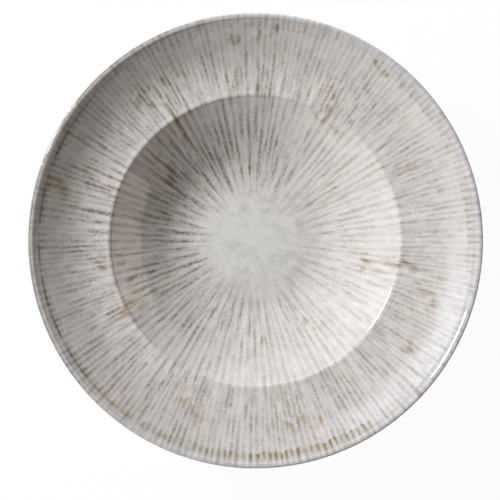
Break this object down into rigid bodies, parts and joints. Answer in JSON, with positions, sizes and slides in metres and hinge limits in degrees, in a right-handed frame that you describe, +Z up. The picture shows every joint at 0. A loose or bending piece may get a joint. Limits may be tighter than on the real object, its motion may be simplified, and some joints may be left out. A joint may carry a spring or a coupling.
{
  "type": "pasta plate",
  "caption": "Round pasta plate with a bowl-shaped well, a wide upswept rim, a rolled lip and a bare foot ring, glazed with radial streaks; holds a serving of food.",
  "frame": {"origin": "on the plate's axis, in the plane that the foot ring stands on", "axes": "+Z up along the plate's axis; the plate is the same all the way round, so +X and +Y are free"},
  "size_m": [0.28, 0.28, 0.048],
  "materials": {
    "fired_clay": "unglazed, ground flat on the foot",
    "streaked_glaze": "glossy pale grey with radial streaks and ochre flecks",
    "edge_glaze": "glossy cool grey with fine radial strokes",
    "plain_glaze": "glossy pale grey, finely speckled"
  },
  "bodies": {
    "root": {"clay_body": "fired_clay", "face_glaze": "streaked_glaze", "edge_band": "edge_glaze", "back_glaze": "plain_glaze", "base_glaze": "plain_glaze"}
  },
  "joints": []
}
